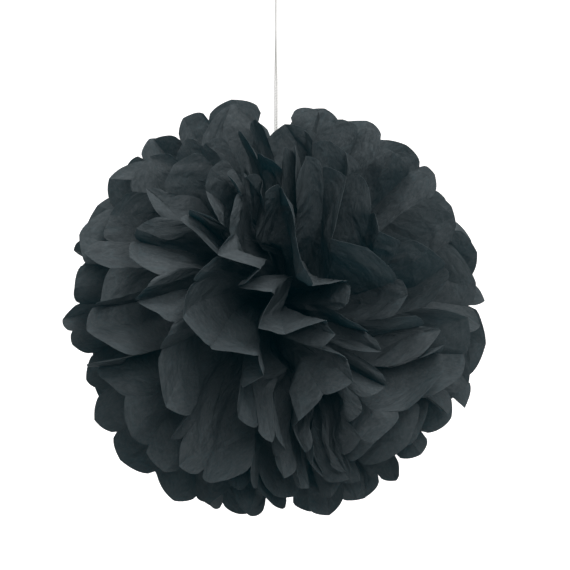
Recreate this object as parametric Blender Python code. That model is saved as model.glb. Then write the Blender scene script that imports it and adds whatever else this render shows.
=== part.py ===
"""Tissue paper pom pom: pleated sheets bound at the middle, fanned out into a ball, on a white cord.

Each sheet is one piece from the cut edge of its left fan, through the binding, to the cut edge of its right fan.
Its fold lines run out from the binding. The front pole of the ball points along -Y and the cord rises along +Z.
The origin is the top of the cord's loop, where the pom pom hangs.
"""
import math

import bpy
import numpy as np
from mathutils import Vector

MM = 0.001

# Sheets
BALL_DIAMETER = 372 * MM
SHEETS = 10
SHEET_WIDTH = 660 * MM
PLEATS = 14
PAPER = 0.4 * MM
NOTCH_DEPTH = 14 * MM
SEAM_GAP = 4 * MM

# Binding and cord
BUNDLE_DIAMETER = 18 * MM
WAIST_LENGTH = 6 * MM
WIRE_DIAMETER = 1.2 * MM
CORD_DIAMETER = 1.6 * MM
HANG_HEIGHT = 340 * MM
LOOP_LENGTH = 34 * MM
PLAY = 0.35 * MM

BALL_R = BALL_DIAMETER / 2
BUNDLE_R = BUNDLE_DIAMETER / 2
PLEAT_WIDTH = SHEET_WIDTH / PLEATS
SHEET_PITCH = 2 * (BUNDLE_R - 2 * MM) / (SHEETS - 1)
SEED = 27
GOLDEN_ANGLE = math.pi * (3 - math.sqrt(5))
UP = np.array([0.0, 0.0, 1.0])

# Rows of points from the binding (0) to the cut edge (1), and the cells across one pleat in each row
POLE_ROWS = (0.0, 0.28, 0.5, 0.69, 0.86, 1.0)
POLE_CELLS = (1, 1, 2, 2, 2, 4)
SHOULDER_ROWS = (0.0, 0.36, 0.64, 0.85, 1.0)
SHOULDER_CELLS = (1, 1, 2, 2, 4)
MIDDLE_ROWS = (0.0, 0.5, 0.8, 1.0)
MIDDLE_CELLS = (1, 1, 2, 4)

# Paper that is pushed about by hand: turns of the fans, large and small, and curls near the cut edge
LARGE_TURNS = 22
SMALL_TURNS = 70
CURLS = 60
POLE_SLIT = math.radians(44)
SLIT_CURLS = 4
LEAST_TILT = math.radians(14)
MOST_TILT = math.radians(76)
BEND_FADE = 0.5
CURL_ANGLES = (18, 42)
END_OPENNESS = np.interp(np.abs(np.linspace(-1, 1, PLEATS)), (0.6, 1.0), (0.0, 0.6))
SEAM_CURLS = ((0.44, 0.30, -28), (0.77, 0.37, 38))


def turned(points, axis, angle):
    """Points turned about an axis through the centre, each by its own angle."""
    cos = np.cos(angle)[..., None]
    sin = np.sin(angle)[..., None]
    along = (points @ axis)[..., None]
    return points * cos + np.cross(axis, points) * sin + axis * along * (1 - cos)


def fan_turn(points, axis, reach, angle):
    """Turns the paper round one direction of the ball, most there and none past its reach."""
    length = np.linalg.norm(points, axis=-1)
    away = np.arccos(np.clip(points @ axis / np.maximum(length, 1e-9), -1, 1)) / reach
    share = np.clip(1 - away ** 2, 0, 1) ** 2 * np.clip(length / BALL_R, 0, 1.2)
    return turned(points, axis, angle * share)


def edge_curl(points, centre, axis, reach, angle):
    """Rolls the paper round a point of its own: each shell about the point turns whole, less the further out."""
    arm = points - centre
    share = np.clip(1 - (np.linalg.norm(arm, axis=-1) / reach) ** 2, 0, 1) ** 2
    return centre + turned(arm, axis, angle * share)


def even_direction(count, index, seed):
    """One of count directions spread evenly over the ball, and the random picks that go with it."""
    pick = np.random.default_rng([seed, index])
    height = 1 - 2 * (index + 0.5) / count
    azimuth = index * GOLDEN_ANGLE + seed
    flat = math.sqrt(1 - height * height)
    direction = np.array([flat * math.cos(azimuth), flat * math.sin(azimuth), height])
    direction += 0.25 * pick.normal(size=3) / math.sqrt(count / 10)
    return direction / np.linalg.norm(direction), pick


def clear_of_cord(axis, reach):
    """True where a turn round the axis leaves the paper next to the cord alone."""
    return math.acos(float(np.clip(axis @ UP, -1, 1))) > reach + math.radians(3)


def looseness(direction):
    """Less at the two poles, where the pleats stand close and hold each other."""
    return 0.35 + 0.65 * math.hypot(direction[0], direction[2])


def disordered(points):
    """Moves the evenly fanned paper as hands do. Each move keeps sheets that don't cross from crossing."""
    for pole in (-1, 1):
        for depth, reach, lean in SEAM_CURLS:
            for index in range(SLIT_CURLS):
                rise = POLE_SLIT * (2 * (index + 0.5) / SLIT_CURLS - 1)
                centre = np.array([0.0, pole * math.cos(rise), math.sin(rise)]) * depth * BALL_R
                along_slit = np.array([0.0, -pole * math.sin(rise), math.cos(rise)])
                angle = math.radians(lean) * (1 if index % 2 else -1)
                points = edge_curl(points, centre, along_slit, reach * BALL_R, angle)
        points = fan_turn(points, np.array([0.0, pole, 0.0]), math.radians(86), math.radians(45))
    for index in range(LARGE_TURNS):
        axis, pick = even_direction(LARGE_TURNS, index, 5)
        reach = math.radians(pick.uniform(34, 46))
        angle = math.radians(pick.choice([-1, 1]) * pick.uniform(18, 34))
        if clear_of_cord(axis, reach):
            points = fan_turn(points, axis, reach, angle)
    for index in range(SMALL_TURNS):
        axis, pick = even_direction(SMALL_TURNS, index, 9)
        reach = math.radians(pick.uniform(15, 24))
        angle = math.radians(pick.choice([-1, 1]) * pick.uniform(15, 40)) * looseness(axis)
        if clear_of_cord(axis, reach):
            points = fan_turn(points, axis, reach, angle)
    for index in range(CURLS):
        direction, pick = even_direction(CURLS, index, 21)
        axis = np.cross(direction, pick.normal(size=3))
        axis /= np.linalg.norm(axis)
        centre = direction * BALL_R * pick.uniform(0.72, 0.9)
        reach = BALL_R * pick.uniform(0.26, 0.36)
        angle = math.radians(pick.choice([-1, 1]) * pick.uniform(*CURL_ANGLES)) * looseness(direction)
        if centre[2] < 0 or math.hypot(centre[0], centre[1]) > reach + 3 * MM:
            points = edge_curl(points, centre, axis, reach, angle)
    return points


def pole_angle(number):
    """Angle from the front pole to the middle of a sheet's fans, closer together near both poles."""
    even = math.pi * (number + 0.5) / SHEETS
    return even - 0.06 * math.sin(2 * even)


def room(number):
    """The angle a sheet may stray from its middle without meeting the next one or its own pole."""
    here = pole_angle(number)
    below = here - pole_angle(number - 1) if number > 0 else 2 * here
    above = pole_angle(number + 1) - here if number < SHEETS - 1 else 2 * (math.pi - here)
    return 0.44 * min(below, above)


def along_folds(values, along):
    return np.interp(along, np.arange(len(values)), values)


def slit_share(angle):
    """How far a fan at this angle from the front pole is drawn out into its pole's upright slit."""
    return POLE_SLIT * (1 - 2 * angle / math.pi)


def walk_pleats(middle, opened, openness, limit, start):
    """Azimuth and height of each fold line: every pleat is as wide as the paper, shut ones stand, open ones lie."""
    azimuth = [-opened]
    height = [start * limit * 0.4]
    turn = 1 if start < 0 else -1
    pleat = PLEAT_WIDTH / BALL_R
    for share in openness:
        tilt = LEAST_TILT + (MOST_TILT - LEAST_TILT) * (1 - share)
        scale = math.hypot(math.sin(middle), slit_share(middle) / (math.pi / 2))
        azimuth.append(azimuth[-1] + pleat * math.cos(tilt) / scale)
        rise = pleat * math.sin(tilt)
        if abs(height[-1] + turn * rise) > limit and abs(height[-1] - turn * rise) < abs(height[-1] + turn * rise):
            turn = -turn
        height.append(height[-1] + turn * rise)
        turn = -turn
    return np.array(azimuth), np.array(height)


def fold_lines(pick, middle, opened, limit):
    """The fold lines of a fan, opened so far that the last one reaches the seam."""
    mood = np.maximum(pick.uniform(0.05, 1, PLEATS), END_OPENNESS)
    start = pick.uniform(-1, 1)
    low, high = -4.0, 5.0
    for _ in range(40):
        shut = (low + high) / 2
        azimuth, height = walk_pleats(middle, opened, mood ** math.exp(shut), limit, start)
        if azimuth[-1] > opened:
            low = shut
        else:
            high = shut
    azimuth = -opened + (azimuth + opened) * 2 * opened / (azimuth[-1] + opened)
    return azimuth, height - height.mean()


def paper_point(number, side, along, out):
    """Points of one fan. along counts the pleats from the bottom edge, out runs from the binding to the cut."""
    pick = np.random.default_rng([SEED, number, 1 if side > 0 else 0])
    pleat = np.floor(np.minimum(along, PLEATS - 1e-9)).astype(int)
    across = along - pleat
    arch = np.sin(np.pi * across)
    middle = pole_angle(number)
    limit = room(number)

    # Azimuth of each fold line about the front pole, even at the binding and uneven at the cut edge
    opened = math.radians(89 + pick.uniform(-0.5, 0.5))
    cut_folds, heights = fold_lines(pick, middle, opened, limit)
    bound_folds = np.linspace(-1, 1, PLEATS + 1) * math.radians(87)

    # Length of the paper: petal by petal, each rounded in its own way to a notch at each fold
    petal_length = (1 + 0.05 * pick.uniform(-1, 1, PLEATS))[pleat]
    fold_length = along_folds(1 + 0.05 * pick.uniform(-1, 1, PLEATS + 1), along)
    trim = np.random.default_rng([SEED + 2, number, 1 if side > 0 else 0])
    power = trim.uniform(1.6, 2.6, PLEATS)[pleat]
    lopsided = across + trim.uniform(-0.5, 0.5, PLEATS)[pleat] * across * (1 - across)
    bite = NOTCH_DEPTH * along_folds(trim.uniform(0.7, 1.3, PLEATS + 1), along)
    rounding = 1 - (1 - np.abs(2 * lopsided - 1) ** power) ** (1 / power)
    radius = out * (BALL_R * (0.35 * petal_length + 0.65 * fold_length) - bite * rounding)
    share = radius / BALL_R
    ease = np.minimum(share, 1) ** 0.8
    azimuth = along_folds(bound_folds, along) * (1 - ease) + along_folds(cut_folds, along) * ease

    # Height of the paper over the middle of its fan: pleats, bulges and curled petals
    stray = along_folds(heights, along)
    stray = stray + 0.07 * pick.uniform(-1, 1, PLEATS)[pleat] * arch * share
    curl = 0.6 * along_folds(pick.uniform(-1, 1, PLEATS + 1), along)
    curl = curl + 0.6 * pick.uniform(-1, 1, PLEATS)[pleat] * arch
    stray = stray + 0.14 * curl * np.clip((share - 0.6) / 0.4, 0, 1) ** 2
    angle = middle + limit * np.tanh(stray / limit)
    angle = angle - 0.16 * (1 - share) * np.sin(2 * angle)

    # Direction from the binding, with each pole drawn out into an upright slit
    tall = slit_share(angle) * azimuth / (math.pi / 2)
    level = np.stack([np.sin(angle) * np.cos(azimuth), -np.cos(angle), np.sin(angle) * np.sin(azimuth)], -1)
    points = turned(level, np.array([-1.0, 0.0, 0.0]), tall) * radius[..., None]
    points[..., 0] = side * (points[..., 0] + SEAM_GAP * share)
    points = disordered(points)
    points[..., 2] -= 0.03 * BALL_R * share ** 2

    # Binding: pleats side by side in a round bundle
    depth_place = (number - (SHEETS - 1) / 2) * SHEET_PITCH
    half_height = math.sqrt(BUNDLE_R ** 2 - depth_place ** 2)
    from_pole = min(number, SHEETS - 1 - number)
    hold = 1 - (1 - 2 * from_pole / (SHEETS - 2)) * (1 - np.clip(1 - share / BEND_FADE, 0, 1) ** 2)
    bend_place = WAIST_LENGTH / 2 * hold + 0.9 * SHEET_PITCH * from_pole
    points[..., 0] += side * bend_place
    points[..., 1] += depth_place + 0.25 * MM * (1 - 2 * np.abs(along % 2 - 1))
    points[..., 2] += (2 * along / PLEATS - 1) * half_height
    return points


def sheet_rows(number):
    """More rows towards the poles, where the pleats are shut and the paper is pushed about most."""
    from_pole = min(number, SHEETS - 1 - number) / SHEETS
    if from_pole < 0.2:
        return list(zip(POLE_ROWS, POLE_CELLS))
    return list(zip(SHOULDER_ROWS, SHOULDER_CELLS) if from_pole < 0.3 else zip(MIDDLE_ROWS, MIDDLE_CELLS))


def fan_rows(number, side):
    """The fan's rows of points from the binding to the cut edge."""
    rows = []
    for out, cells in sheet_rows(number):
        along = np.linspace(0, PLEATS, PLEATS * cells + 1)
        rows.append(paper_point(number, side, along, np.full_like(along, out)))
    return rows


def strip(inner, outer, inner_start, outer_start, flip):
    """Triangles between two rows of points, where the outer row has as many cells as the inner one or twice."""
    faces = []
    double = outer > inner
    for cell in range(inner):
        a, b = inner_start + cell, inner_start + cell + 1
        if double:
            c = outer_start + 2 * cell
            faces += [(a, b, c + 1), (a, c + 1, c), (b, c + 2, c + 1)]
        elif cell % 2 == 0:
            c = outer_start + cell
            faces += [(a, b, c + 1), (a, c + 1, c)]
        else:
            c = outer_start + cell
            faces += [(a, b, c), (b, c + 1, c)]
    if flip:
        faces = [(a, c, b) for a, b, c in faces]
    return faces


def sheet_mesh(name, number):
    """One sheet as a surface: left fan, waist, right fan."""
    points = []
    faces = []
    starts = {}
    for side in (-1, 1):
        rows = fan_rows(number, side)
        starts[side] = []
        for row in rows:
            starts[side].append(len(points))
            points.extend(Vector(point) for point in row)
        cells = [PLEATS * row[1] for row in sheet_rows(number)]
        for i in range(len(rows) - 1):
            inner, outer = cells[i:i + 2]
            faces += strip(inner, outer, starts[side][i], starts[side][i + 1], side < 0)
    faces += strip(PLEATS, PLEATS, starts[-1][0], starts[1][0], False)
    mesh = bpy.data.meshes.new(name)
    mesh.from_pydata(points, [], faces)
    mesh.validate()
    mesh.shade_smooth()
    return mesh


def material(name, color, roughness, metallic=0.0):
    made = bpy.data.materials.new(name)
    made.use_nodes = True
    shader = made.node_tree.nodes["Principled BSDF"]
    shader.inputs["Base Color"].default_value = (*color, 1)
    shader.inputs["Roughness"].default_value = roughness
    shader.inputs["Metallic"].default_value = metallic
    made.diffuse_color = (*color, 1)
    return made


def add(name, data, centre, finish):
    piece = bpy.data.objects.new(name, data)
    bpy.context.scene.collection.objects.link(piece)
    piece.parent = centre
    piece.data.materials.append(finish)
    return piece


def smooth_route(route, count, stretch, bend):
    """Points on a centripetal Catmull-Rom curve through the route's points, closer together where it bends.

    A point costs one stretch of length or one bend of angle, and the points share the whole cost evenly.
    """
    route = [2 * route[0] - route[1], *route, 2 * route[-1] - route[-2]]
    dense = []
    for i in range(1, len(route) - 2):
        p0, p1, p2, p3 = route[i - 1:i + 3]
        a, b, c = (math.sqrt((q - p).length) for p, q in ((p0, p1), (p1, p2), (p2, p3)))
        leave = ((p1 - p0) / a - (p2 - p0) / (a + b) + (p2 - p1) / b) * b
        arrive = ((p2 - p1) / b - (p3 - p1) / (b + c) + (p3 - p2) / c) * b
        for step in range(24):
            t = step / 24
            dense.append(p1 * (2 * t ** 3 - 3 * t ** 2 + 1) + leave * (t ** 3 - 2 * t ** 2 + t)
                         + p2 * (3 * t ** 2 - 2 * t ** 3) + arrive * (t ** 3 - t ** 2))
    dense.append(route[-2])
    cost = [0.0, (dense[1] - dense[0]).length / stretch]
    for before, here, after in zip(dense, dense[1:], dense[2:]):
        cost.append(cost[-1] + (after - here).length / stretch + (here - before).angle(after - here) / bend)
    spots = []
    at = 0
    for i in range(count):
        want = cost[-1] * i / (count - 1)
        while at < len(cost) - 2 and cost[at + 1] < want:
            at += 1
        t = (want - cost[at]) / max(cost[at + 1] - cost[at], 1e-9)
        spots.append(dense[at].lerp(dense[at + 1], min(t, 1)))
    return spots


def tube(name, spots, diameter, sides_step):
    """A round closed tube along a line of points."""
    curve = bpy.data.curves.new(name, "CURVE")
    curve.dimensions = "3D"
    curve.resolution_u = 1
    curve.render_resolution_u = 0
    curve.bevel_depth = diameter / 2
    curve.bevel_resolution = sides_step
    curve.use_fill_caps = True
    line = curve.splines.new("POLY")
    line.points.add(len(spots) - 1)
    for point, spot in zip(line.points, spots):
        point.co = (*spot, 1)
    line.use_smooth = True
    return curve


def wire_sizes():
    """Radius of the wire's ring, half the distance between its legs, and the height and radius of its eye."""
    ring = BUNDLE_R + 0.25 * MM + PAPER / 2 + PLAY + WIRE_DIAMETER / 2
    leg = WIRE_DIAMETER / 2 + 0.2 * MM
    eye_r = CORD_DIAMETER / 2 + 2 * PLAY + WIRE_DIAMETER
    return ring, leg, ring + WIRE_DIAMETER + eye_r, eye_r


def wire_route():
    """Folded wire: an eye on top, a leg down each side of it, and each leg once round the bundle to a tail below."""
    ring, leg, eye_height, eye_r = wire_sizes()
    half = []
    for i in range(13):
        turn = math.radians(205 - 197 * i / 12)
        half.append(Vector((-leg, ring * math.sin(turn), ring * math.cos(turn))))
    eye = []
    first = math.asin(leg / eye_r)
    for i in range(11):
        turn = math.pi + first + (2 * math.pi - 2 * first) * i / 10
        eye.append(Vector((eye_r * math.sin(turn), 0, eye_height + eye_r * math.cos(turn))))
    other = [Vector((-p.x, -p.y, p.z)) for p in half]
    return half + eye + other[::-1]


def cord_route():
    """From inside the knot round the hanging loop, down through the knot and the eye, up, and round the knot."""
    eye_height = wire_sizes()[2]
    side = CORD_DIAMETER / 2 + 0.1 * MM
    bend = 2 * CORD_DIAMETER
    pitch = CORD_DIAMETER + 0.12 * MM
    wraps = 3
    wrap_r = side + CORD_DIAMETER + 0.4 * MM
    knot = HANG_HEIGHT - LOOP_LENGTH - wraps * pitch
    knot_top = knot + wraps * pitch
    rim = BALL_R + 10 * MM
    lowest = eye_height + PLAY

    def strand(height, sign):
        """One of the two strands, which turn about each other: abreast at the ball's rim, else one behind the other."""
        turn = math.pi * float(np.interp(height, (eye_height, rim, rim + 55 * MM, knot), (0.5, 0.0, -0.5, -0.5)))
        away = side + (bend - side) * max(0.0, 1 - (height - lowest - bend) / (40 * MM)) ** 2
        return Vector((sign * away * math.cos(turn), sign * away * math.sin(turn), height))

    wide = 0.2 * LOOP_LENGTH
    loop_middle = HANG_HEIGHT - wide - CORD_DIAMETER / 2
    route = [Vector((0, side, knot + 0.6 * pitch)), Vector((0, side, knot_top + 0.4 * pitch))]
    for i in range(9):
        turn = math.radians(-25 + 230 * i / 8)
        route.append(Vector((0, wide * math.cos(turn), loop_middle + wide * math.sin(turn))))
    route.append(Vector((0, -side, knot_top + 0.4 * pitch)))
    heights = [knot + (lowest + bend - knot) * i / 12 for i in range(13)]
    route += [strand(height, 1) for height in heights]
    for i in range(1, 6):
        turn = math.pi * i / 6
        route.append(Vector((0, bend * math.cos(turn), lowest + bend - bend * math.sin(turn))))
    route += [strand(height, -1) for height in reversed(heights[1:])]
    route.append(strand(knot - 4 * pitch, -1))
    for i in range(wraps * 8 + 1):
        turn = 2 * math.pi * i / 8
        route.append(Vector((-wrap_r * math.sin(turn), wrap_r * math.cos(turn), knot + pitch * (i / 8))))
    return route


def build():
    for piece in list(bpy.data.objects):
        bpy.data.objects.remove(piece, do_unlink=True)
    centre = bpy.data.objects.new("ball_centre", None)
    bpy.context.scene.collection.objects.link(centre)
    centre.location = (0, 0, -HANG_HEIGHT)

    for number in range(SHEETS):
        name = f"tissue_sheet_{number + 1:02d}"
        shade = 0.9 + 0.02 * (number % 5)
        finish = material(f"black_tissue_{number + 1:02d}", (0.045 * shade, 0.054 * shade, 0.06 * shade), 0.85)
        sheet = add(name, sheet_mesh(name, number), centre, finish)
        shell = sheet.modifiers.new("paper", "SOLIDIFY")
        shell.thickness = PAPER
        shell.offset = 0
        shell.use_quality_normals = True

    wire = tube("binding_wire", smooth_route(wire_route(), 36, 6 * MM, math.radians(30)), WIRE_DIAMETER, 1)
    add("binding_wire", wire, centre, material("binding_wire_steel", (0.35, 0.35, 0.36), 0.4, 1.0))

    cord = tube("hanging_cord", smooth_route(cord_route(), 80, 20 * MM, math.radians(40)), CORD_DIAMETER, 2)
    add("hanging_cord", cord, centre, material("white_cord", (0.8, 0.79, 0.75), 0.7))


build()
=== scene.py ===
"""Looks of the hanging tissue paper pom pom: ten creased tissue sheets, binding wire, doubled cord and stage.

The paper and the cord follow the same formulas as the solids, on finer grids. Lengths are in metres.
The origin is the top of the cord's loop, and the middle of the ball is straight below it.
"""
import math

import bpy
import numpy as np
from bpy.props import FloatProperty, FloatVectorProperty, PointerProperty
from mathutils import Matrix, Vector


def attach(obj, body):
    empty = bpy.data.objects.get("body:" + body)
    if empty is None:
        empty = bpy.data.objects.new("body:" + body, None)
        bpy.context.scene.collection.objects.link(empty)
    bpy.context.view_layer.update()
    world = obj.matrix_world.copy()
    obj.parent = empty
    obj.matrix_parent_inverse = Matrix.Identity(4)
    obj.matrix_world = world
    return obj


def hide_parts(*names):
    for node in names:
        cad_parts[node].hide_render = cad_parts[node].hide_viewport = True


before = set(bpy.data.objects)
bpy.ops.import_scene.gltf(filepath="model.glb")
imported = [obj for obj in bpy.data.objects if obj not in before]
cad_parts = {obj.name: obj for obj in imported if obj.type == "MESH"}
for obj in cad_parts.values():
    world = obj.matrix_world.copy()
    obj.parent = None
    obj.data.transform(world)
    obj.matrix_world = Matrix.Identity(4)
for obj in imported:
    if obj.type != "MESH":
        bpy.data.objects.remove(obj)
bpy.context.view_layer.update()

bl_info = {
    "name": "Tissue paper pom pom",
    "version": (1, 0, 0),
    "blender": (4, 5, 0),
    "location": "3D View > Sidebar > Pom pom",
    "description": "Creased tissue sheets, binding wire and doubled cord of a hanging paper ball",
    "category": "Add Mesh",
}

MM = 0.001

# Sheets as cut and stacked
BALL_DIAMETER = 372 * MM
SHEETS = 10
SHEET_WIDTH = 660 * MM
PLEATS = 14
NOTCH_DEPTH = 14 * MM
SEAM_GAP = 4 * MM

# Binding and cord
BUNDLE_DIAMETER = 18 * MM
WAIST_LENGTH = 6 * MM
WIRE_DIAMETER = 1.2 * MM
CORD_DIAMETER = 1.6 * MM
HANG_HEIGHT = 340 * MM
LOOP_LENGTH = 34 * MM
PLAY = 0.35 * MM
PAPER_SOLID = 0.4 * MM
BOUND_ZIGZAG = 0.25 * MM
STRAND_GAP = 0.1 * MM
WRAP_GAP = 0.12 * MM
WRAP_PLAY = 0.4 * MM

BALL_R = BALL_DIAMETER / 2
BUNDLE_R = BUNDLE_DIAMETER / 2
PLEAT_WIDTH = SHEET_WIDTH / PLEATS
SHEET_PITCH = 2 * (BUNDLE_R - 2 * MM) / (SHEETS - 1)
UP = np.array([0.0, 0.0, 1.0])
GOLDEN_ANGLE = math.pi * (3 - math.sqrt(5))

# Random picks, one row of them for each thing that is chosen by chance
SEED = 27
CREASE_SEED = SEED + 1
TRIM_SEED = SEED + 2
LARGE_SEED = 5
SMALL_SEED = 9
CURL_SEED = 21

# How the fans share the ball: half a fan's opening at the binding and at the cut edge in degrees, the rest in
# radians and in shares of the radius or of the room between neighbours
BOUND_OPENING = 87
CUT_OPENING = 89
OPENING_PLAY = 0.5
POLE_SLIT = math.radians(44)
POLE_CROWDING = 0.06
POLE_GATHER = 0.16
ROOM_SHARE = 0.44
LEAST_TILT = math.radians(14)
MOST_TILT = math.radians(76)
FIRST_HEIGHT = 0.4
OPENNESS = (0.05, 1)
END_OPENNESS = np.interp(np.abs(np.linspace(-1, 1, PLEATS)), (0.6, 1.0), (0.0, 0.6))
CUT_EASE = 0.8
BEND_FADE = 0.5
BEND_STEP = 0.9
SAG = 0.03

# Each petal's own form: its length, the roundness of its cut, the bulge of its pleat and the curl of its tip
LENGTH_PLAY = 0.05
PETAL_SHARE = 0.35
ROUNDNESS = (1.6, 2.6)
LOPSIDED = 0.5
NOTCH_PLAY = (0.7, 1.3)
BULGE = 0.07
TIP_CURL = 0.14
TIP_START = 0.6
FOLD_CURL = 0.6
PLEAT_CURL = 0.6

# Paper that is pushed about by hand: turns of the fans, large and small, and curls near the cut edge.
# Angles and the reaches of turns are in degrees. Depths and reaches of curls are shares of the radius.
LARGE_TURNS = 22
LARGE_REACH = (34, 46)
LARGE_ANGLES = (18, 34)
SMALL_TURNS = 70
SMALL_REACH = (15, 24)
SMALL_ANGLES = (15, 40)
CURLS = 60
CURL_DEPTHS = (0.72, 0.9)
CURL_REACH = (0.26, 0.36)
CURL_ANGLES = (18, 42)
DIRECTION_PLAY = 0.25
LEAST_LOOSENESS = 0.35
CORD_CLEARANCE = 3 * MM
CORD_ANGLE = math.radians(3)

# Petals that lean into the upright slit of each pole: depth, reach and lean of its curls, and one turn
SLIT_CURLS = 4
SEAM_CURLS = ((0.44, 0.30, -28), (0.77, 0.37, 38))
POLE_REACH = math.radians(86)
POLE_TURN = math.radians(45)

# Twists round the cord inside the ball: distance above and below the middle, reach, and angle in degrees
INNER_TWISTS = ((38 * MM, 35 * MM, 45), (88 * MM, 84 * MM, 45), (130 * MM, 50 * MM, 30))

# Creases: rows of the crease net from the binding (0) to the cut edge (1), its lines to a pleat, the uneven
# places of its knots, and the finer grid. Crumples: size of a facet and its share of the height.
CREASE_ROWS = np.array([0.0, 0.24, 0.44, 0.6, 0.74, 0.87, 1.0])
CREASES_ACROSS = 2
KNOT_PLAY_ALONG = 0.11
KNOT_PLAY_OUT = 0.34
STEPS_ACROSS = 9
STEPS_OUT = 7
ROUND_SHARE = 0.72
CRUMPLES = ((17 * MM, 1.5), (8 * MM, 0.8))

# Shift of the paper's map from one sheet to the next, so that no two sheets have the same clouds
MAP_SHIFT = (0.7, 0.5)

# The cord's rings share its length and its bends, and this many points make a ring
CORD_RINGS = 1300
CORD_STRETCH = 0.9 * MM
CORD_BEND = math.radians(24)
CORD_SIDES = 14


class PaperSizes(bpy.types.PropertyGroup):
    """Tissue sheets."""

    thickness: FloatProperty(
        name="Thickness", description="Thickness of one tissue sheet as drawn",
        default=0.2 * MM, min=0.05 * MM, subtype="DISTANCE", unit="LENGTH", precision=5)
    crispness: FloatProperty(
        name="Crispness", description="How flat the paper is between its creases, from soft to crisp",
        default=0.9, min=0, max=1, subtype="FACTOR")
    crumple: FloatProperty(
        name="Crumple", description="Height of the small crumples",
        default=0.8 * MM, min=0, subtype="DISTANCE", unit="LENGTH", precision=5)
    color: FloatVectorProperty(
        name="Colour", description="Colour of the tissue in even light",
        default=(0.078, 0.090, 0.096), min=0, max=1, subtype="COLOR")


class CordSizes(bpy.types.PropertyGroup):
    """Hanging cord."""

    diameter: FloatProperty(
        name="Diameter", description="Diameter of one strand of the cord",
        default=CORD_DIAMETER, min=0.5 * MM, subtype="DISTANCE", unit="LENGTH", precision=5)
    lay: FloatProperty(
        name="Lay", description="Length in which the plies turn once about each other",
        default=5 * MM, min=1 * MM, subtype="DISTANCE", unit="LENGTH", precision=5)
    color: FloatVectorProperty(
        name="Colour", description="Colour of the cotton",
        default=(0.6, 0.597, 0.582), min=0, max=1, subtype="COLOR")


class StageSizes(bpy.types.PropertyGroup):
    """Floor, light and camera."""

    floor_color: FloatVectorProperty(
        name="Floor", description="Colour of the floor",
        default=(0.88, 0.88, 0.88), min=0, max=1, subtype="COLOR")
    drop: FloatProperty(
        name="Drop", description="Distance from the loop down to the floor",
        default=2.0, min=0.6, subtype="DISTANCE", unit="LENGTH")
    key: FloatProperty(
        name="Key light", description="Power of the large soft light in front and above",
        default=22, min=0, unit="POWER")
    top: FloatProperty(
        name="Top light", description="Power of the soft light overhead",
        default=18, min=0, unit="POWER")
    fill: FloatProperty(
        name="Fill light", description="Power of the soft light above the camera",
        default=17, min=0, unit="POWER")
    sky: FloatProperty(
        name="Sky", description="Strength of the even light from all sides",
        default=0.36, min=0, subtype="FACTOR")


class Value:
    """One output of a shader node. Arithmetic on it adds Math nodes."""

    def __init__(self, finish, socket):
        self.finish = finish
        self.socket = socket

    def maths(self, operation, *values):
        return self.finish.value("ShaderNodeMath", 0, {"operation": operation}, dict(enumerate(values)))

    def __add__(self, other):
        return self.maths("ADD", self, other)

    def __radd__(self, other):
        return self.maths("ADD", other, self)

    def __sub__(self, other):
        return self.maths("SUBTRACT", self, other)

    def __rsub__(self, other):
        return self.maths("SUBTRACT", other, self)

    def __mul__(self, other):
        return self.maths("MULTIPLY", self, other)

    def __rmul__(self, other):
        return self.maths("MULTIPLY", other, self)

    def __truediv__(self, other):
        return self.maths("DIVIDE", self, other)

    def __rtruediv__(self, other):
        return self.maths("DIVIDE", other, self)

    def pingpong(self, length):
        return self.maths("PINGPONG", self, length)

    def rise(self, low, high):
        """0 below low, 1 above high and a smooth step between them. With low above high it falls instead."""
        settings = {"interpolation_type": "SMOOTHSTEP"}
        if low < high:
            return self.finish.value("ShaderNodeMapRange", 0, settings, {0: self, 1: low, 2: high})
        return 1 - self.finish.value("ShaderNodeMapRange", 0, settings, {0: self, 1: high, 2: low})


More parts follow.
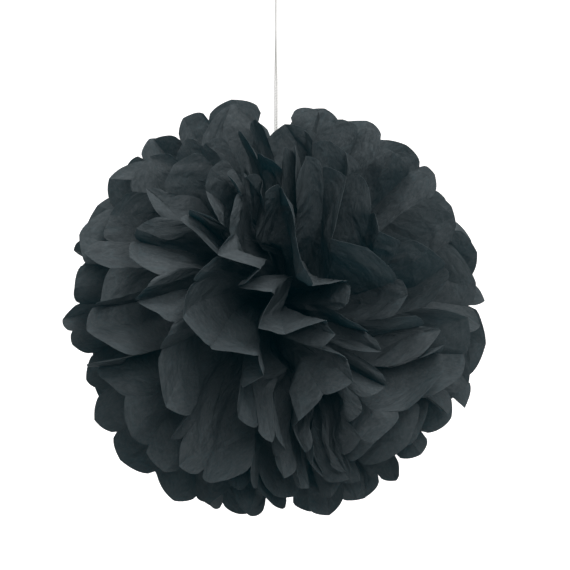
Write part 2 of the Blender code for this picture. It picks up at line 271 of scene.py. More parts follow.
class Finish:
    """A material that is written as expressions on its values."""

    def __init__(self, name):
        self.material = bpy.data.materials.new(name)
        self.material.use_nodes = True
        self.tree = self.material.node_tree
        self.tree.nodes.clear()

    def add(self, kind, settings, inputs):
        """A node: its settings first, then the numbers, colours or values of its sockets."""
        node = self.tree.nodes.new(kind)
        for name, setting in settings.items():
            setattr(node, name, setting)
        for key, given in inputs.items():
            if isinstance(given, Value):
                self.tree.links.new(given.socket, node.inputs[key])
            else:
                node.inputs[key].default_value = given
        return node

    def value(self, kind, output, settings, inputs):
        """One output of a new node."""
        return Value(self, self.add(kind, settings, inputs).outputs[output])

    def coordinates(self, output, scale=(1, 1, 1), turn=0.0):
        """Places on the piece or on its map, stretched and turned."""
        place = self.value("ShaderNodeTexCoord", output, {}, {})
        return self.value("ShaderNodeMapping", 0, {"vector_type": "POINT"},
                          {"Vector": place, "Scale": scale, "Rotation": (0, 0, turn)})

    def noise(self, place, scale, detail=2.0, roughness=0.5):
        """Clouds from 0 to 1, with scale of them to a metre."""
        return self.value("ShaderNodeTexNoise", 0, {},
                          {"Vector": place, "Scale": scale, "Detail": detail, "Roughness": roughness})

    def shifted(self, place, scale, amount):
        """Places pushed about by a soft noise, so that cells and lines on them run unevenly."""
        color = self.value("ShaderNodeTexNoise", 1, {}, {"Vector": place, "Scale": scale, "Detail": 2.0})
        centred = self.value("ShaderNodeVectorMath", 0, {"operation": "SUBTRACT"},
                             {0: color, 1: (0.5, 0.5, 0.5)})
        pushed = self.value("ShaderNodeVectorMath", 0, {"operation": "SCALE"}, {0: centred, "Scale": amount})
        return self.value("ShaderNodeVectorMath", 0, {"operation": "ADD"}, {0: place, 1: pushed})

    def mix(self, factor, first, second):
        """The colour between two colours that lies as far along as the factor says."""
        node = self.add("ShaderNodeMix", {"data_type": "RGBA"}, {0: factor, 6: first, 7: second})
        return Value(self, node.outputs[2])

    def bump(self, height, strength, distance):
        """The normal of a relief: a height of 1 stands out by the distance."""
        return self.value("ShaderNodeBump", 0, {},
                          {"Height": height, "Strength": strength, "Distance": distance})

    def shader(self, **inputs):
        """A Principled shader, with its sockets' names as words."""
        named = {key.replace("_", " ").title().replace("Ior", "IOR"): given for key, given in inputs.items()}
        return self.value("ShaderNodeBsdfPrincipled", 0, {}, named)

    def end(self, surface):
        """The finished material with this surface."""
        self.add("ShaderNodeOutputMaterial", {}, {0: surface})
        return self.material


def shade(color, by):
    """A colour made darker or lighter by a factor."""
    return tuple(min(1.0, part * by) for part in color) + (1.0,)


def tissue_finish(color):
    """Dyed tissue: cloudy dye, flecks and grain of the fibres, rubbed lighter creases, fine crumples, painted
    glow.

    The map runs along the sheet's width in u and from the binding to the cut edge in v, in metres.
    """
    paper = Finish("tissue_paper")
    place = paper.coordinates("UV")
    cloud = paper.noise(place, 38, 4, 0.62)
    fleck = paper.noise(paper.coordinates("UV", (1, 0.75, 1), 0.5), 560, 3, 0.7)
    grain = paper.noise(paper.coordinates("UV", (1, 0.8, 1), -0.4), 1100, 2, 0.6)

    width = paper.value("ShaderNodeSeparateXYZ", 0, {}, {0: place})
    fold = (width / PLEAT_WIDTH).pingpong(0.5) * PLEAT_WIDTH
    fold_line = fold.rise(0.8 * MM, 0.1 * MM)

    def net(scale, unevenness):
        """Distance to the nearest line of an uneven net, in its own units, and the net's inputs."""
        inputs = {"Vector": paper.shifted(place, 0.5 * scale, unevenness), "Scale": scale, "Randomness": 1.0}
        edge = paper.value("ShaderNodeTexVoronoi", "Distance", {"feature": "DISTANCE_TO_EDGE"}, inputs)
        return edge, inputs

    large_scale = 45
    small_scale = 120
    large_edge, inputs = net(large_scale, 0.010)
    cell = paper.value("ShaderNodeTexVoronoi", "Color", {"feature": "F1"}, inputs)
    large = large_edge * (paper.value("ShaderNodeSeparateXYZ", 0, {}, {0: cell}) - 0.5) * (0.33 / large_scale)
    small = net(small_scale, 0.004)[0] * (0.1 / small_scale)
    crease = large_edge.rise(0.05, 0.0) * paper.noise(place, 55, 1).rise(0.45, 0.62)

    tone = 0.35 * cloud + 0.45 * fleck.rise(0.35, 0.7) + 0.4 * paper.noise(place, 240, 3, 0.65).rise(0.3, 0.7)
    body = paper.mix(tone, shade(color, 0.6), shade(color, 1.34))
    rubbed = 0.14 * fold_line + 0.25 * crease
    body = paper.mix(rubbed, body, (1.4 * color[0], 1.7 * color[1], 1.75 * color[2], 1))

    height = large + small + 0.12 * MM * paper.noise(place, 160, 3) + 0.1 * MM * fleck + 0.05 * MM * grain
    relief = paper.bump(height, 1.0, 1.0)
    rough = 0.60 + 0.18 * cloud - 0.08 * rubbed
    # The faint teal emission is a painted glow that lifts the paper's shadows; tissue gives off no light of
    # its own
    face = paper.shader(base_color=body, roughness=rough, specular_ior_level=0.2, normal=relief,
                        emission_color=(0.0, 0.0046, 0.0066, 1), emission_strength=1.0)
    through = paper.value("ShaderNodeBsdfTranslucent", 0, {},
                          {"Color": (0.012, 0.14, 0.162, 1), "Normal": relief})
    thin = 0.45 + 0.12 * cloud
    return paper.end(paper.value("ShaderNodeMixShader", 0, {}, {0: thin, 1: face, 2: through}))


def cotton_finish(color):
    """Twisted cotton: fibres along the plies, painted shade between them, painted shade inside the ball near
    the binding.
    """
    cotton = Finish("twisted_cotton")
    place = cotton.coordinates("UV", (1, 0.3, 1))
    strand = cotton.noise(place, 2600, 3, 0.6)
    soft = cotton.noise(cotton.coordinates("UV"), 180, 2)
    ply = cotton.value("ShaderNodeAttribute", "Fac", {"attribute_name": "ply"}, {})
    # Painted shade: the grooves between the plies are mixed darker, along with random tone from the fibres
    body = cotton.mix(0.35 * strand + 0.3 * soft + 0.5 * ply, shade(color, 0.66), shade(color, 1.08))
    height = cotton.value("ShaderNodeSeparateXYZ", 2, {}, {0: cotton.coordinates("Object")})
    # Painted shade: the cord goes dark inside the ball, fully below 2 cm above its middle and not at all
    # above 9 cm
    painted_shade_in_ball = (height + HANG_HEIGHT - 0.02 * soft).rise(0.09, 0.02)
    body = cotton.mix(0.9 * painted_shade_in_ball, body, (0.05, 0.06, 0.065, 1))
    relief = cotton.bump(strand + 0.4 * soft, 0.6, 0.12 * MM)
    return cotton.end(cotton.shader(base_color=body, roughness=0.82 - 0.1 * ply, normal=relief,
                                    sheen_weight=0.2, sheen_roughness=0.4))


def wire_finish():
    """Annealed steel wire: dull dark grey, faintly scaled, drawn along its length."""
    steel = Finish("annealed_wire")
    place = steel.coordinates("Object")
    scale = steel.noise(place, 900, 4, 0.6)
    drawn = steel.noise(steel.coordinates("Object", (1, 1, 0.2)), 3200, 2)
    body = steel.mix(scale.rise(0.35, 0.7), (0.035, 0.035, 0.037, 1), (0.09, 0.088, 0.085, 1))
    return steel.end(steel.shader(base_color=body, metallic=0.9, roughness=0.48 + 0.25 * scale,
                                  normal=steel.bump(drawn, 0.3, 0.05 * MM)))


def floor_finish(color):
    """Pale matte floor with a barely visible tooth, lit from within where it rises behind the ball."""
    floor = Finish("pale_floor")
    place = floor.coordinates("Object")
    tooth = floor.noise(place, 240, 3)
    body = floor.mix(0.5 * floor.noise(place, 1.5, 2), shade(color, 1.0), shade(color, 0.985))
    back = floor.value("ShaderNodeSeparateXYZ", 1, {}, {0: place}).rise(2.5, 3.4)
    glow = floor.mix(back, (0, 0, 0, 1), (0.8, 0.8, 0.8, 1))
    return floor.end(floor.shader(base_color=body, roughness=0.85, normal=floor.bump(tooth, 0.06, 0.2 * MM),
                                  emission_color=glow, emission_strength=1.0))


def turned(points, axis, angle):
    """Points turned about an axis through the centre, each by its own angle."""
    cos = np.cos(angle)[..., None]
    sin = np.sin(angle)[..., None]
    along = (points @ axis)[..., None]
    return points * cos + np.cross(axis, points) * sin + axis * along * (1 - cos)


def fan_turn(points, axis, reach, angle):
    """Turns the paper round one direction of the ball, most there and none past its reach."""
    length = np.linalg.norm(points, axis=-1)
    away = np.arccos(np.clip(points @ axis / np.maximum(length, 1e-9), -1, 1)) / reach
    share = np.clip(1 - away ** 2, 0, 1) ** 2 * np.clip(length / BALL_R, 0, 1.2)
    return turned(points, axis, angle * share)


def edge_curl(points, centre, axis, reach, angle):
    """Rolls the paper round a point: each shell about the point turns whole, less the further out it is."""
    arm = points - centre
    share = np.clip(1 - (np.linalg.norm(arm, axis=-1) / reach) ** 2, 0, 1) ** 2
    return centre + turned(arm, axis, angle * share)


def even_direction(count, index, seed):
    """One of count directions spread evenly over the ball, and the random picks that go with it."""
    pick = np.random.default_rng([seed, index])
    height = 1 - 2 * (index + 0.5) / count
    azimuth = index * GOLDEN_ANGLE + seed
    flat = math.sqrt(1 - height * height)
    direction = np.array([flat * math.cos(azimuth), flat * math.sin(azimuth), height])
    direction += DIRECTION_PLAY * pick.normal(size=3) / math.sqrt(count / 10)
    return direction / np.linalg.norm(direction), pick


def clear_of_cord(axis, reach):
    """True where a turn round the axis leaves the paper next to the cord alone."""
    return math.acos(float(np.clip(axis @ UP, -1, 1))) > reach + CORD_ANGLE


def looseness(direction):
    """Less at the two poles, where the pleats stand close and hold each other."""
    return LEAST_LOOSENESS + (1 - LEAST_LOOSENESS) * math.hypot(direction[0], direction[2])


def disordered(points):
    """Moves the evenly fanned paper as hands do. Each move keeps sheets that don't cross from crossing."""
    for pole in (-1, 1):
        for depth, reach, lean in SEAM_CURLS:
            for index in range(SLIT_CURLS):
                rise = POLE_SLIT * (2 * (index + 0.5) / SLIT_CURLS - 1)
                centre = np.array([0.0, pole * math.cos(rise), math.sin(rise)]) * depth * BALL_R
                along_slit = np.array([0.0, -pole * math.sin(rise), math.cos(rise)])
                angle = math.radians(lean) * (1 if index % 2 else -1)
                points = edge_curl(points, centre, along_slit, reach * BALL_R, angle)
        points = fan_turn(points, np.array([0.0, pole, 0.0]), POLE_REACH, POLE_TURN)
    for rise in (-1, 1):
        for height, reach, twist in INNER_TWISTS:
            points = edge_curl(points, rise * height * UP, UP, reach, math.radians(-rise * twist))
    for index in range(LARGE_TURNS):
        axis, pick = even_direction(LARGE_TURNS, index, LARGE_SEED)
        reach = math.radians(pick.uniform(*LARGE_REACH))
        angle = math.radians(pick.choice([-1, 1]) * pick.uniform(*LARGE_ANGLES))
        if clear_of_cord(axis, reach):
            points = fan_turn(points, axis, reach, angle)
    for index in range(SMALL_TURNS):
        axis, pick = even_direction(SMALL_TURNS, index, SMALL_SEED)
        reach = math.radians(pick.uniform(*SMALL_REACH))
        angle = math.radians(pick.choice([-1, 1]) * pick.uniform(*SMALL_ANGLES)) * looseness(axis)
        if clear_of_cord(axis, reach):
            points = fan_turn(points, axis, reach, angle)
    for index in range(CURLS):
        direction, pick = even_direction(CURLS, index, CURL_SEED)
        axis = np.cross(direction, pick.normal(size=3))
        axis /= np.linalg.norm(axis)
        centre = direction * BALL_R * pick.uniform(*CURL_DEPTHS)
        reach = BALL_R * pick.uniform(*CURL_REACH)
        angle = math.radians(pick.choice([-1, 1]) * pick.uniform(*CURL_ANGLES)) * looseness(direction)
        if centre[2] < 0 or math.hypot(centre[0], centre[1]) > reach + CORD_CLEARANCE:
            points = edge_curl(points, centre, axis, reach, angle)
    return points


def pole_angle(number):
    """Angle from the front pole to the middle of a sheet's fans, closer together near both poles."""
    even = math.pi * (number + 0.5) / SHEETS
    return even - POLE_CROWDING * math.sin(2 * even)


def room(number):
    """The angle a sheet may stray from its middle without meeting the next one or its own pole."""
    here = pole_angle(number)
    below = here - pole_angle(number - 1) if number > 0 else 2 * here
    above = pole_angle(number + 1) - here if number < SHEETS - 1 else 2 * (math.pi - here)
    return ROOM_SHARE * min(below, above)


def along_folds(values, along):
    """Values given at the fold lines, in a straight line from one fold to the next."""
    return np.interp(along, np.arange(len(values)), values)


def slit_share(angle):
    """How far a fan at this angle from the front pole is drawn out into its pole's upright slit."""
    return POLE_SLIT * (1 - 2 * angle / math.pi)


def walk_pleats(middle, opened, openness, limit, start):
    """Azimuth and height of each fold line: pleats are as wide as the paper, and shut ones stand upright."""
    azimuth = [-opened]
    height = [start * limit * FIRST_HEIGHT]
    turn = 1 if start < 0 else -1
    pleat = PLEAT_WIDTH / BALL_R
    for share in openness:
        tilt = LEAST_TILT + (MOST_TILT - LEAST_TILT) * (1 - share)
        scale = math.hypot(math.sin(middle), slit_share(middle) / (math.pi / 2))
        azimuth.append(azimuth[-1] + pleat * math.cos(tilt) / scale)
        rise = pleat * math.sin(tilt)
        onward = abs(height[-1] + turn * rise)
        if onward > limit and abs(height[-1] - turn * rise) < onward:
            turn = -turn
        height.append(height[-1] + turn * rise)
        turn = -turn
    return np.array(azimuth), np.array(height)


def fold_lines(pick, middle, opened, limit):
    """The fold lines of a fan, opened so far that the last one reaches the seam."""
    mood = np.maximum(pick.uniform(*OPENNESS, PLEATS), END_OPENNESS)
    start = pick.uniform(-1, 1)
    low, high = -4.0, 5.0
    for _ in range(40):
        shut = (low + high) / 2
        azimuth, height = walk_pleats(middle, opened, mood ** math.exp(shut), limit, start)
        if azimuth[-1] > opened:
            low = shut
        else:
            high = shut
    azimuth = -opened + (azimuth + opened) * 2 * opened / (azimuth[-1] + opened)
    return azimuth, height - height.mean()


def paper_point(number, side, along, out):
    """Points of one fan. along counts pleats from the bottom edge, and out runs from the binding to the cut.

    A point's direction from the binding is its fan's angle from the front pole and its fold's azimuth about
    it, and its distance is the paper's length there. The hands' moves, the sag and the binding follow.
    """
    pick = np.random.default_rng([SEED, number, 1 if side > 0 else 0])
    pleat = np.floor(np.minimum(along, PLEATS - 1e-9)).astype(int)
    across = along - pleat
    arch = np.sin(np.pi * across)
    middle = pole_angle(number)
    limit = room(number)

    # Azimuth of each fold line about the front pole, even at the binding and uneven at the cut edge
    opened = math.radians(CUT_OPENING + pick.uniform(-OPENING_PLAY, OPENING_PLAY))
    cut_folds, heights = fold_lines(pick, middle, opened, limit)
    bound_folds = np.linspace(-1, 1, PLEATS + 1) * math.radians(BOUND_OPENING)

    # Length of the paper: petal by petal, each rounded in its own way to a notch at each fold
    petal_length = (1 + LENGTH_PLAY * pick.uniform(-1, 1, PLEATS))[pleat]
    fold_length = along_folds(1 + LENGTH_PLAY * pick.uniform(-1, 1, PLEATS + 1), along)
    trim = np.random.default_rng([TRIM_SEED, number, 1 if side > 0 else 0])
    power = trim.uniform(*ROUNDNESS, PLEATS)[pleat]
    lopsided = across + trim.uniform(-LOPSIDED, LOPSIDED, PLEATS)[pleat] * across * (1 - across)
    bite = NOTCH_DEPTH * along_folds(trim.uniform(*NOTCH_PLAY, PLEATS + 1), along)
    rounding = 1 - (1 - np.abs(2 * lopsided - 1) ** power) ** (1 / power)
    length = BALL_R * (PETAL_SHARE * petal_length + (1 - PETAL_SHARE) * fold_length)
    radius = out * (length - bite * rounding)
    share = radius / BALL_R
    ease = np.minimum(share, 1) ** CUT_EASE
    azimuth = along_folds(bound_folds, along) * (1 - ease) + along_folds(cut_folds, along) * ease

    # Height of the paper over the middle of its fan: pleats, bulges and curled petals
    stray = along_folds(heights, along)
    stray = stray + BULGE * pick.uniform(-1, 1, PLEATS)[pleat] * arch * share
    curl = FOLD_CURL * along_folds(pick.uniform(-1, 1, PLEATS + 1), along)
    curl = curl + PLEAT_CURL * pick.uniform(-1, 1, PLEATS)[pleat] * arch
    stray = stray + TIP_CURL * curl * np.clip((share - TIP_START) / (1 - TIP_START), 0, 1) ** 2
    angle = middle + limit * np.tanh(stray / limit)
    angle = angle - POLE_GATHER * (1 - share) * np.sin(2 * angle)

    # Direction from the binding, with each pole drawn out into an upright slit
    tall = slit_share(angle) * azimuth / (math.pi / 2)
    level = np.stack([np.sin(angle) * np.cos(azimuth), -np.cos(angle), np.sin(angle) * np.sin(azimuth)], -1)
    points = turned(level, np.array([-1.0, 0.0, 0.0]), tall) * radius[..., None]
    points[..., 0] = side * (points[..., 0] + SEAM_GAP * share)
    points = disordered(points)
    points[..., 2] -= SAG * BALL_R * share ** 2

    # Binding: pleats side by side in a round bundle
    depth_place = (number - (SHEETS - 1) / 2) * SHEET_PITCH
    half_height = math.sqrt(BUNDLE_R ** 2 - depth_place ** 2)
    from_pole = min(number, SHEETS - 1 - number)
    hold = 1 - (1 - 2 * from_pole / (SHEETS - 2)) * (1 - np.clip(1 - share / BEND_FADE, 0, 1) ** 2)
    bend_place = WAIST_LENGTH / 2 * hold + BEND_STEP * SHEET_PITCH * from_pole
    points[..., 0] += side * bend_place
    points[..., 1] += depth_place + BOUND_ZIGZAG * (1 - 2 * np.abs(along % 2 - 1))
    points[..., 2] += (2 * along / PLEATS - 1) * half_height
    return points


def faceted(knots, falling, x, y):
    """Flat triangles between knots on a square net, each cell cut along its rising or falling diagonal."""
    i = np.clip(np.floor(x).astype(int), 0, knots.shape[0] - 2)
    j = np.clip(np.floor(y).astype(int), 0, knots.shape[1] - 2)
    s = (x - i)[..., None]
    t = (y - j)[..., None]
    a, b, c, d = knots[i, j], knots[i + 1, j], knots[i, j + 1], knots[i + 1, j + 1]
    rising = np.where(s >= t, a + s * (b - a) + t * (d - b), a + t * (c - a) + s * (d - c))
    fallen = np.where(s + t <= 1, a + s * (b - a) + t * (c - a), d + (1 - s) * (c - d) + (1 - t) * (b - d))
    return np.where(falling[i, j][..., None], fallen, rising)


def creased_fan(number, side, crispness, crumple):
    """Grid of one fan's points, along the pleats and then outwards, and each point's place on the sheet.

    Knots of an uneven crease net lie on the paper's smooth surface, fold lines among them. Between the knots
    the paper is partly flat, by the crispness, and keeps most of the smooth surface's distance from the
    centre, so the petals stay round. Small crumples are flat facets too, in and out along the normal.
    """
    pick = np.random.default_rng([CREASE_SEED, number, 1 if side > 0 else 0])
    lines = PLEATS * CREASES_ACROSS
    rows = len(CREASE_ROWS) - 1
    inner = (np.arange(lines + 1) % CREASES_ACROSS != 0)[:, None]
    net = (lines + 1, rows + 1)
    along = np.arange(lines + 1)[:, None] / CREASES_ACROSS
    along = along + KNOT_PLAY_ALONG * inner * pick.uniform(-1, 1, net)
    gaps = np.diff(CREASE_ROWS)
    least = np.minimum(np.append(0, gaps), np.append(gaps, 0))
    out = CREASE_ROWS[None, :] + KNOT_PLAY_OUT * least[None, :] * pick.uniform(-1, 1, net)
    falling = pick.random((lines, rows)) < 0.5
    knots = np.stack([along, out], -1)

    x = np.linspace(0, lines, lines * STEPS_ACROSS + 1)[:, None] + np.zeros((1, rows * STEPS_OUT + 1))
    y = np.linspace(0, rows, rows * STEPS_OUT + 1)[None, :] + np.zeros((lines * STEPS_ACROSS + 1, 1))
    place = faceted(knots, falling, x, y)
    smooth = paper_point(number, side, place[..., 0], place[..., 1])
    flat = faceted(paper_point(number, side, along, out), falling, x, y)
    mixed = smooth + crispness * (flat - smooth)

    # The outer third keeps its distance from the centre, the more the nearer to the cut edge
    keep = ROUND_SHARE * np.clip(place[..., 1] * 3 - 2, 0, 1)[..., None]
    smooth_away = np.linalg.norm(smooth, axis=-1, keepdims=True)
    mixed_away = np.linalg.norm(mixed, axis=-1, keepdims=True)
    points = mixed * (1 + keep * (smooth_away / np.maximum(mixed_away, 1e-6) - 1))

    # Crumples of two sizes, on nets that wander, none at the binding
    normal = np.cross(np.gradient(points, axis=0), np.gradient(points, axis=1))
    normal /= np.maximum(np.linalg.norm(normal, axis=-1, keepdims=True), 1e-12)
    height = 0
    for size, part in CRUMPLES:
        u = place[..., 0] * PLEAT_WIDTH / size
        v = place[..., 1] * BALL_R / size
        u, v = u + 0.3 * np.sin(1.7 * v + number) + 0.25 * np.sin(0.9 * u), v + 0.3 * np.sin(1.3 * u + side)
        u, v = u - u.min(), v - v.min()
        shape = (int(u.max()) + 2, int(v.max()) + 2)
        heights = pick.uniform(-1, 1, (*shape, 1))
        height = height + part * faceted(heights, pick.random((shape[0] - 1, shape[1] - 1)) < 0.5, u, v)
    loose = np.clip(place[..., 1] * 1.6 - 0.25, 0, 1)[..., None]
    return points + normal * height * crumple * loose, place


def grid_mesh(name, points, u, v, closed=False, sharp=0):
    """A surface on a grid of points with a map in metres. The second index runs round it if it is closed.

    An open surface has hard edges at its border, and along every line whose first index divides by sharp.
    """
    count = points.shape[:2]
    index = np.arange(count[0] * count[1]).reshape(count)
    ring = np.concatenate([index, index[:, :1]], 1) if closed else index
    corners = np.stack([ring[:-1, :-1], ring[1:, :-1], ring[1:, 1:], ring[:-1, 1:]], -1).reshape(-1, 4)
    mesh = bpy.data.meshes.new(name)
    mesh.from_pydata(points.reshape(-1, 3), [], corners)
    layer = mesh.uv_layers.new(name="UVMap")
    if closed:
        u = np.concatenate([u, u[:, :1]], 1)
        v = np.concatenate([v, 2 * v[:, -1:] - v[:, -2:-1]], 1)
    places = np.stack([u, v], -1)
    loops = np.stack([places[:-1, :-1], places[1:, :-1], places[1:, 1:], places[:-1, 1:]], 2).reshape(-1)
    layer.data.foreach_set("uv", loops.astype(np.float32))
    mesh.shade_smooth()
    if not closed:
        ends = np.empty(len(mesh.edges) * 2, np.int32)
        mesh.edges.foreach_get("vertices", ends)
        i, j = np.divmod(ends.reshape(-1, 2), count[1])
        border = ((i == 0) | (i == count[0] - 1)).all(1) | ((j == 0) | (j == count[1] - 1)).all(1)
        folded = (i[:, 0] == i[:, 1]) & (i[:, 0] % sharp == 0) if sharp else border
        mesh.attributes.new("sharp_edge", "BOOLEAN", "EDGE").data.foreach_set("value", border | folded)
    return mesh


def show(name, mesh, finish, slot, *nodes):
    """A finished piece at the origin that rides with the ball and stands for its solids."""
    piece = bpy.data.objects.new(name, mesh)
    bpy.context.scene.collection.objects.link(piece)
    if finish:
        mesh.materials.append(finish)
    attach(piece, "root")
    if nodes:
        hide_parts(*nodes)
    return piece


def tissue_sheet(number, sizes, finish):
    """One sheet: the left fan from its cut edge in, the waist, and the right fan out to its cut edge."""
    fans = [creased_fan(number, side, sizes.crispness, sizes.crumple) for side in (-1, 1)]
    points = np.concatenate([fans[0][0][:, ::-1], fans[1][0]], 1) - UP * HANG_HEIGHT
    u = np.concatenate([fans[0][1][:, ::-1, 0], fans[1][1][..., 0]], 1) * PLEAT_WIDTH
    v = np.concatenate([-fans[0][1][:, ::-1, 1] * BALL_R - WAIST_LENGTH / 2,
                        fans[1][1][..., 1] * BALL_R + WAIST_LENGTH / 2], 1)
    name = f"tissue_{number + 1:02d}"
    mesh = grid_mesh(name, points, u + MAP_SHIFT[0] * number, v + MAP_SHIFT[1] * number, sharp=STEPS_ACROSS)
    piece = show(name, mesh, finish, "black_tissue", f"tissue_sheet_{number + 1:02d}")
    shell = piece.modifiers.new("paper", "SOLIDIFY")
    shell.thickness = sizes.thickness
    shell.offset = 0
    shell.use_quality_normals = True
    return piece


def smooth_route(route, count, stretch, bend):
    """Points on a centripetal Catmull-Rom curve through the route's points, closer together where it bends.

    A point costs one stretch of length or one bend of angle, and the points share the whole cost evenly.
    """
    route = np.concatenate([2 * route[:1] - route[1:2], route, 2 * route[-1:] - route[-2:-1]])
    p0, p1, p2, p3 = (route[i:len(route) - 3 + i, None] for i in range(4))
    spans = (p1 - p0, p2 - p1, p3 - p2)
    a, b, c = (np.sqrt(np.linalg.norm(span, axis=-1, keepdims=True)) for span in spans)
    leave = ((p1 - p0) / a - (p2 - p0) / (a + b) + (p2 - p1) / b) * b
    arrive = ((p2 - p1) / b - (p3 - p1) / (b + c) + (p3 - p2) / c) * b
    t = np.arange(24)[None, :, None] / 24
    dense = (p1 * (2 * t ** 3 - 3 * t ** 2 + 1) + leave * (t ** 3 - 2 * t ** 2 + t)
             + p2 * (3 * t ** 2 - 2 * t ** 3) + arrive * (t ** 3 - t ** 2)).reshape(-1, 3)
    dense = np.concatenate([dense, route[-2:-1]])
    step = np.diff(dense, axis=0)
    length = np.linalg.norm(step, axis=1)
    turn = np.arccos(np.clip((step[1:] * step[:-1]).sum(1) / (length[1:] * length[:-1]), -1, 1))
    cost = np.concatenate([[0], np.cumsum(length / stretch + np.append(0, turn) / bend)])
    want = np.linspace(0, cost[-1], count)
    return np.stack([np.interp(want, cost, dense[:, k]) for k in range(3)], -1)


def cord_route():
    """From inside the knot round the loop, down through the knot and the eye, up, and round the knot."""
    ring = BUNDLE_R + BOUND_ZIGZAG + PAPER_SOLID / 2 + PLAY + WIRE_DIAMETER / 2
    eye_height = ring + 2 * WIRE_DIAMETER + CORD_DIAMETER / 2 + 2 * PLAY
    side = CORD_DIAMETER / 2 + STRAND_GAP
    bend = 2 * CORD_DIAMETER
    pitch = CORD_DIAMETER + WRAP_GAP
    wraps = 3
    wrap_r = side + CORD_DIAMETER + WRAP_PLAY
    knot = HANG_HEIGHT - LOOP_LENGTH - wraps * pitch
    knot_top = knot + wraps * pitch
    rim = BALL_R + 10 * MM
    lowest = eye_height + PLAY

    def strand(height, sign):
        """Strands turn about each other: abreast at the ball's rim, else one behind the other."""
        turn = math.pi * np.interp(height, (eye_height, rim, rim + 55 * MM, knot), (0.5, 0.0, -0.5, -0.5))
        away = side + (bend - side) * np.maximum(0.0, 1 - (height - lowest - bend) / (40 * MM)) ** 2
        return np.stack([sign * away * np.cos(turn), sign * away * np.sin(turn), height], -1)

    def point(y, z):
        """One point of the route in the loop's own plane."""
        return np.array([[0.0, y, z]])

    wide = 0.2 * LOOP_LENGTH
    loop_middle = HANG_HEIGHT - wide - CORD_DIAMETER / 2
    around = np.radians(-25 + 230 * np.arange(9) / 8)
    loop = np.stack([0 * around, wide * np.cos(around), loop_middle + wide * np.sin(around)], -1)
    heights = knot + (lowest + bend - knot) * np.arange(13) / 12
    under = math.pi * np.arange(1, 6) / 6
    turn_back = np.stack([0 * under, bend * np.cos(under), lowest + bend - bend * np.sin(under)], -1)
    winding = 2 * math.pi * np.arange(wraps * 8 + 1) / 8
    climb = knot + pitch * winding / (2 * math.pi)
    knotted = np.stack([-wrap_r * np.sin(winding), wrap_r * np.cos(winding), climb], -1)
    loop_foot = knot_top + 0.4 * pitch
    return np.concatenate([
        point(side, knot + 0.6 * pitch), point(side, loop_foot), loop, point(-side, loop_foot),
        strand(heights, 1), turn_back, strand(heights[:0:-1], -1), strand(np.array([knot - 4 * pitch]), -1),
        knotted])


def twisted_tube(line, diameter, lay, sides):
    """A two-ply cord along a line: a round section whose radius dips at the two grooves that wind round it.

    Its rings stand square to the line, and its ends close to a point.
    """
    step = np.gradient(line, axis=0)
    step /= np.linalg.norm(step, axis=1, keepdims=True)
    first = np.cross(step, np.array([0.75, 0.25, 0.61]))
    first /= np.linalg.norm(first, axis=1, keepdims=True)
    second = np.cross(step, first)
    long = np.concatenate([[0], np.cumsum(np.linalg.norm(np.diff(line, axis=0), axis=1))])[:, None]
    round_it = 2 * math.pi * np.arange(sides)[None, :] / sides
    ply = np.abs(np.cos(round_it - 2 * math.pi * long / lay))
    radius = diameter / 2 * (0.80 + 0.24 * ply ** 0.7)
    end = np.clip(np.minimum(long, long[-1] - long) / (0.4 * diameter), 0, 1)
    radius = radius * np.sqrt(1 - (1 - end) ** 2)
    points = line[:, None] + radius[..., None] * (np.cos(round_it)[..., None] * first[:, None]
                                                  + np.sin(round_it)[..., None] * second[:, None])
    return points, ply, long + 0 * round_it, round_it * diameter / 2 + 0 * long


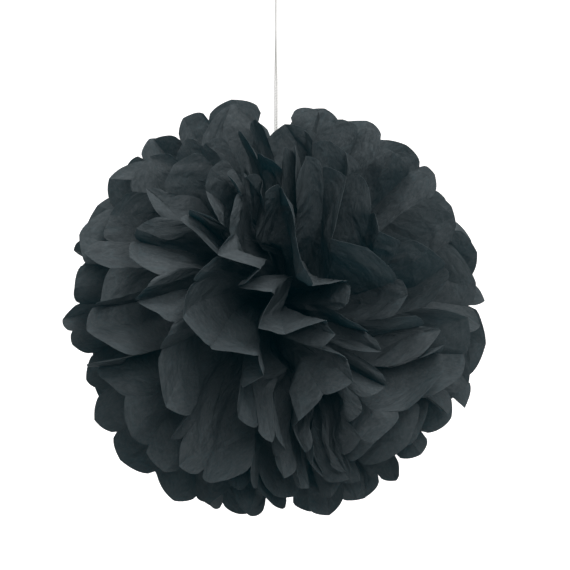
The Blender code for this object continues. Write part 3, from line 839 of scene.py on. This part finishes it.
class POMPOM_OT_stage(bpy.types.Operator):
    """Makes the floor, the soft light and the camera at the height of the ball"""

    bl_idname = "pompom.stage"
    bl_label = "Stage"

    def execute(self, context):
        sizes = context.scene.pompom_stage
        middle = Vector((0, 0, -HANG_HEIGHT))
        azimuth = math.radians(-6.2)
        away = 1.5
        picture_width = 570
        metres_per_pixel = 0.948 * MM
        shift_right, shift_up = 9 * metres_per_pixel, 18 * metres_per_pixel
        forward = Vector((-math.sin(azimuth), math.cos(azimuth), 0))
        right = Vector((math.cos(azimuth), math.sin(azimuth), 0))

        lens = bpy.data.cameras.new("camera")
        lens.lens = lens.sensor_width * away / (picture_width * metres_per_pixel)
        lens.dof.use_dof = False
        camera = bpy.data.objects.new("camera", lens)
        context.scene.collection.objects.link(camera)
        camera.location = middle - away * forward + shift_right * right + shift_up * Vector((0, 0, 1))
        camera.rotation_euler = (math.pi / 2, 0, azimuth)
        context.scene.camera = camera

        # Floor and backdrop in one sweep: flat, a quarter round and upright
        front, back, bow_radius, wall, half_width = -4, 2.4, 1.2, 4.2, 5
        along = np.linspace(0, 1, 61)
        flat = np.stack([front + (back - front) * along, 0 * along], -1)
        turn = along * math.pi / 2
        bow = np.stack([back + bow_radius * np.sin(turn), bow_radius - bow_radius * np.cos(turn)], -1)
        tall = np.stack([back + bow_radius + 0 * along, bow_radius + wall * along], -1)
        depth, height = np.concatenate([flat, bow[1:], tall[1:]]).T
        wide = np.linspace(-half_width, half_width, 21)
        sweep = np.broadcast_arrays(wide[:, None], depth[None, :], height[None, :] - sizes.drop)
        points = np.stack(sweep, -1)
        mesh = grid_mesh("floor", points, points[..., 0], points[..., 1])
        mesh.materials.append(floor_finish(sizes.floor_color))
        floor = bpy.data.objects.new("floor", mesh)
        context.scene.collection.objects.link(floor)

        for name, place, size, power in (("key", (0.5, -1.2, 0.95), 1.2, sizes.key),
                                         ("top", (0.0, -0.25, 1.3), 0.9, sizes.top),
                                         ("fill", (0.1, -1.9, 0.25), 0.9, sizes.fill)):
            light = bpy.data.lights.new(name, "AREA")
            light.size = size
            light.energy = power
            lamp = bpy.data.objects.new(name, light)
            context.scene.collection.objects.link(lamp)
            lamp.location = place
            lamp.rotation_euler = (middle - Vector(place)).to_track_quat("-Z", "Y").to_euler()
        world = bpy.data.worlds.new("soft_white")
        world.use_nodes = True
        world.node_tree.nodes["Background"].inputs[0].default_value = (1, 1, 1, 1)
        world.node_tree.nodes["Background"].inputs[1].default_value = sizes.sky
        context.scene.world = world
        context.scene.view_settings.view_transform = "Standard"
        return {"FINISHED"}


class POMPOM_OT_cord(bpy.types.Operator):
    """Makes the doubled cord with its knot and loop"""

    bl_idname = "pompom.cord"
    bl_label = "Hanging cord"

    def execute(self, context):
        sizes = context.scene.pompom_cord
        line = smooth_route(cord_route(), CORD_RINGS, CORD_STRETCH, CORD_BEND) - UP * HANG_HEIGHT
        points, ply, long, girth = twisted_tube(line, sizes.diameter, sizes.lay, CORD_SIDES)
        mesh = grid_mesh("cord", points, long, girth, closed=True)
        attribute = mesh.attributes.new("ply", "FLOAT", "POINT")
        attribute.data.foreach_set("value", ply.reshape(-1).astype(np.float32))
        cord = show("cord", mesh, cotton_finish(sizes.color), "white_cord", "hanging_cord")
        return {"FINISHED"}


class POMPOM_OT_wire(bpy.types.Operator):
    """Gives the binding wire its finish"""

    bl_idname = "pompom.wire"
    bl_label = "Binding wire"

    def execute(self, context):
        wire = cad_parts["binding_wire"]
        wire.data.materials.clear()
        wire.data.materials.append(wire_finish())
        return {"FINISHED"}


class POMPOM_OT_sheets(bpy.types.Operator):
    """Makes the ten tissue sheets from the front pole to the back pole"""

    bl_idname = "pompom.sheets"
    bl_label = "Tissue sheets"

    def execute(self, context):
        sizes = context.scene.pompom_paper
        finish = tissue_finish(sizes.color)
        for number in range(SHEETS):
            tissue_sheet(number, sizes, finish)
        return {"FINISHED"}


class POMPOM_PT_panel(bpy.types.Panel):
    """Sizes and colours of the pom pom"""

    bl_idname = "POMPOM_PT_panel"
    bl_label = "Tissue paper pom pom"
    bl_space_type = "VIEW_3D"
    bl_region_type = "UI"
    bl_category = "Pom pom"

    def draw(self, context):
        for group, names, operator in (
                ("pompom_stage", ("floor_color", "drop", "key", "top", "fill", "sky"), POMPOM_OT_stage),
                ("pompom_cord", ("diameter", "lay", "color"), POMPOM_OT_cord),
                (None, (), POMPOM_OT_wire),
                ("pompom_paper", ("thickness", "crispness", "crumple", "color"), POMPOM_OT_sheets)):
            box = self.layout.box()
            for name in names:
                box.prop(getattr(context.scene, group), name)
            box.operator(operator.bl_idname)


GROUPS = {"pompom_stage": StageSizes, "pompom_cord": CordSizes, "pompom_paper": PaperSizes}
OPERATORS = (POMPOM_OT_stage, POMPOM_OT_cord, POMPOM_OT_wire, POMPOM_OT_sheets)


def register():
    for made in (*GROUPS.values(), *OPERATORS, POMPOM_PT_panel):
        bpy.utils.register_class(made)
    for name, group in GROUPS.items():
        setattr(bpy.types.Scene, name, PointerProperty(type=group))


def unregister():
    for name in GROUPS:
        delattr(bpy.types.Scene, name)
    for made in (POMPOM_PT_panel, *reversed(OPERATORS), *GROUPS.values()):
        bpy.utils.unregister_class(made)


def main():
    register()
    bpy.ops.pompom.stage()
    bpy.ops.pompom.cord()
    bpy.ops.pompom.wire()
    bpy.ops.pompom.sheets()


if __name__ == "__main__":
    main()
